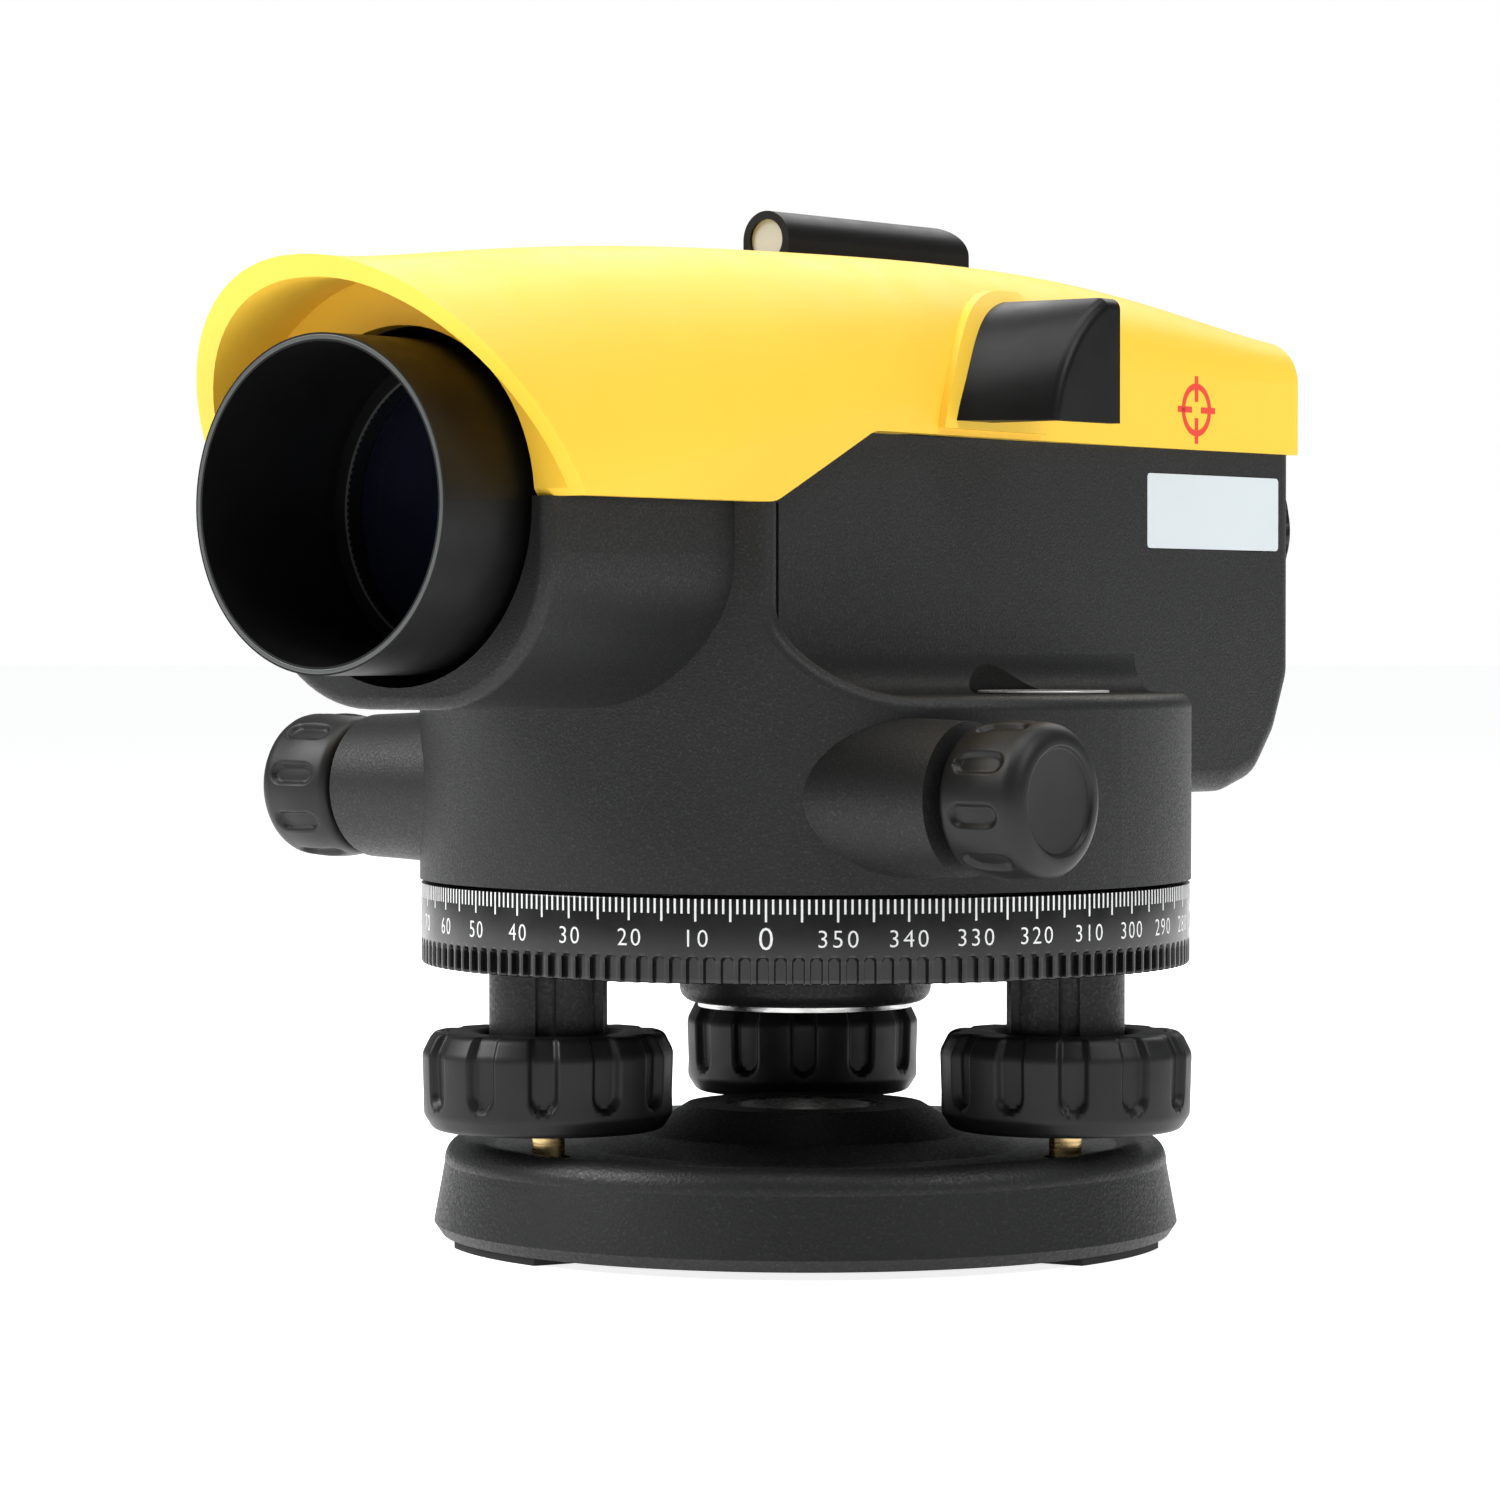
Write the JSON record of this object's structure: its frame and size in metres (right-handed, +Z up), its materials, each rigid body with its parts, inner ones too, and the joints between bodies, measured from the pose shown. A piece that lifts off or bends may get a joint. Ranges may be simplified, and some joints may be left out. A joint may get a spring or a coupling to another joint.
{
  "type": "automatic level",
  "caption": "Surveying level with a self-levelling telescope, a graduated horizontal circle, footscrews, circular level, bubble mirror and optical sight.",
  "frame": {"origin": "on the vertical axis in the plane of the foot pads' undersides", "axes": "+Z up along the vertical axis, -Y along the line of sight through the objective, +X towards the circular level"},
  "size_m": [0.1242, 0.1936, 0.1332],
  "materials": {
    "housing": "textured powder coat",
    "base_paint": "textured powder coat",
    "cover": "satin moulded",
    "knob": "matte soft-touch",
    "circle_black": "gloss with white graduation",
    "hood_black": "satin black anodised",
    "trim_black": "satin",
    "rubber": "matte",
    "brass": "machined",
    "steel": "machined",
    "inner_black": "matte anti-reflection black",
    "lens": "coated",
    "vial": "clear, with tinted liquid",
    "mirror": "polished",
    "label": "smooth, blank"
  },
  "bodies": {
    "base": {"base_plate": "base_paint", "tripod_bush": "steel", "foot_pads": "rubber", "spring_plate": "steel", "spring_plate_screws": "steel"},
    "rear_ball": {"thrust_ball_rear": "steel"},
    "tribrach": {"tribrach": "base_paint", "axis_bush": "brass", "footscrew_nuts": "brass", "hub_plate": "steel"},
    "left_foot": {"thrust_ball_left": "steel", "footscrew_washer_left": "steel"},
    "right_foot": {"thrust_ball_right": "steel", "footscrew_washer_right": "steel"},
    "rear_foot": {"footscrew_washer_rear": "steel"},
    "left_screw": {"footscrew_knob_left": "knob", "footscrew_spindle_left": "brass"},
    "right_screw": {"footscrew_knob_right": "knob", "footscrew_spindle_right": "brass"},
    "rear_screw": {"footscrew_knob_rear": "knob", "footscrew_spindle_rear": "brass"},
    "circle": {"horizontal_circle": "circle_black"},
    "wheel": {"worm_wheel": "brass"},
    "alidade": {"main_housing": "housing", "housing_bottom_plate": "housing", "top_cover": "cover", "housing_screws": "steel", "axis_spindle": "steel", "axis_nut": "steel", "lens_hood": "hood_black", "objective_cell": "hood_black", "objective_ring": "hood_black", "objective_lens": "lens", "telescope_tube": "inner_black", "compensator_frame": "inner_black", "damping_magnet": "steel", "eyepiece_holder": "trim_black", "reticle_ring": "inner_black", "reticle_glass": "lens", "level_cup": "trim_black", "level_vial": "vial", "mirror_housing": "trim_black", "bubble_mirror": "mirror", "sight_body": "trim_black", "sight_lenses": "lens", "label_plate": "label", "shaft_bushes": "brass"},
    "drive": {"drive_shaft": "steel", "drive_knob_left": "knob", "drive_knob_right": "knob"},
    "focus": {"focus_knob": "knob", "focus_pinion": "steel"},
    "carriage": {"focus_carriage": "inner_black", "focusing_lens": "lens"},
    "eyepiece": {"eyepiece_ring": "trim_black", "eyecup": "rubber"},
    "eyepiece_slide": {"eyepiece_cell": "trim_black", "eyepiece_lens": "lens"},
    "pendulum": {"compensator_pendulum": "inner_black", "compensator_prism": "lens"}
  },
  "joints": [
    {"name": "cross_tilt", "type": "hinge", "parent": "base", "child": "rear_ball", "pos_m": [-0.02389, 0.02942, 0.0095], "axis": [0.6303, -0.7764, 0], "range_deg": [-2.6, 2.6]},
    {"name": "fore_tilt", "type": "hinge", "parent": "rear_ball", "child": "tribrach", "pos_m": [0.01194, -0.01471, 0.0095], "axis": [0.7764, 0.6303, 0], "range_deg": [-1.5, 1.5]},
    {"name": "footscrew_left_travel", "type": "slide", "parent": "tribrach", "child": "left_foot", "axis": [0, 0, 1], "range_m": [-0.0015, 0.0015]},
    {"name": "footscrew_left_turn", "type": "hinge", "parent": "left_foot", "child": "left_screw", "pos_m": [-0.01354, -0.0354, 0.022], "axis": [0, 0, 1], "range_deg": [-720, 720]},
    {"name": "footscrew_right_travel", "type": "slide", "parent": "tribrach", "child": "right_foot", "axis": [0, 0, 1], "range_m": [-0.0015, 0.0015]},
    {"name": "footscrew_right_turn", "type": "hinge", "parent": "right_foot", "child": "right_screw", "pos_m": [0.03743, 0.00597, 0.022], "axis": [0, 0, 1], "range_deg": [-720, 720]},
    {"name": "footscrew_rear_travel", "type": "slide", "parent": "tribrach", "child": "rear_foot", "axis": [0, 0, 1], "range_m": [-0.0015, 0.0015]},
    {"name": "footscrew_rear_turn", "type": "hinge", "parent": "rear_foot", "child": "rear_screw", "pos_m": [-0.02389, 0.02942, 0.022], "axis": [0, 0, 1], "range_deg": [-720, 720]},
    {"name": "circle_turn", "type": "hinge", "parent": "tribrach", "child": "circle", "pos_m": [0, 0, 0.042], "axis": [0, 0, 1], "continuous": true},
    {"name": "coarse_turn", "type": "hinge", "parent": "tribrach", "child": "wheel", "pos_m": [0, 0, 0.0587], "axis": [0, 0, 1], "continuous": true},
    {"name": "fine_turn", "type": "hinge", "parent": "wheel", "child": "alidade", "pos_m": [0, 0, 0.0587], "axis": [0, 0, 1], "continuous": true},
    {"name": "drive_turn", "type": "hinge", "parent": "alidade", "child": "drive", "pos_m": [0, -0.0294, 0.0587], "axis": [1, 0, 0], "continuous": true},
    {"name": "focus_travel", "type": "slide", "parent": "alidade", "child": "carriage", "axis": [0, 1, 0], "range_m": [-0.0094, 0.0094]},
    {"name": "focus_turn", "type": "hinge", "parent": "alidade", "child": "focus", "pos_m": [-0.03, 0.005, 0.0865], "axis": [1, 0, 0], "range_deg": [-180, 180]},
    {"name": "eyepiece_travel", "type": "slide", "parent": "alidade", "child": "eyepiece_slide", "axis": [0, 1, 0], "range_m": [-0.00149, 0.00149]},
    {"name": "eyepiece_turn", "type": "hinge", "parent": "alidade", "child": "eyepiece", "pos_m": [0, 0.088, 0.0936], "axis": [0, 1, 0], "range_deg": [-150, 150]},
    {"name": "compensator_swing", "type": "hinge", "parent": "alidade", "child": "pendulum", "pos_m": [0, 0.047, 0.099], "axis": [1, 0, 0], "range_deg": [-1, 1]}
  ],
  "couplings": [
    {"joint": "footscrew_left_travel", "follows": "cross_tilt", "m_per_rad": 0.032822},
    {"joint": "footscrew_left_turn", "follows": "cross_tilt", "ratio": 274.97},
    {"joint": "footscrew_right_travel", "follows": "cross_tilt", "m_per_rad": -0.032822},
    {"joint": "footscrew_right_turn", "follows": "cross_tilt", "ratio": -274.97},
    {"joint": "footscrew_rear_travel", "follows": "fore_tilt", "m_per_rad": -0.05685},
    {"joint": "footscrew_rear_turn", "follows": "fore_tilt", "ratio": -476.27},
    {"joint": "drive_turn", "follows": "fine_turn", "ratio": 61},
    {"joint": "focus_turn", "follows": "focus_travel", "rad_per_m": -333.33},
    {"joint": "eyepiece_turn", "follows": "eyepiece_travel", "rad_per_m": 1745.3}
  ]
}
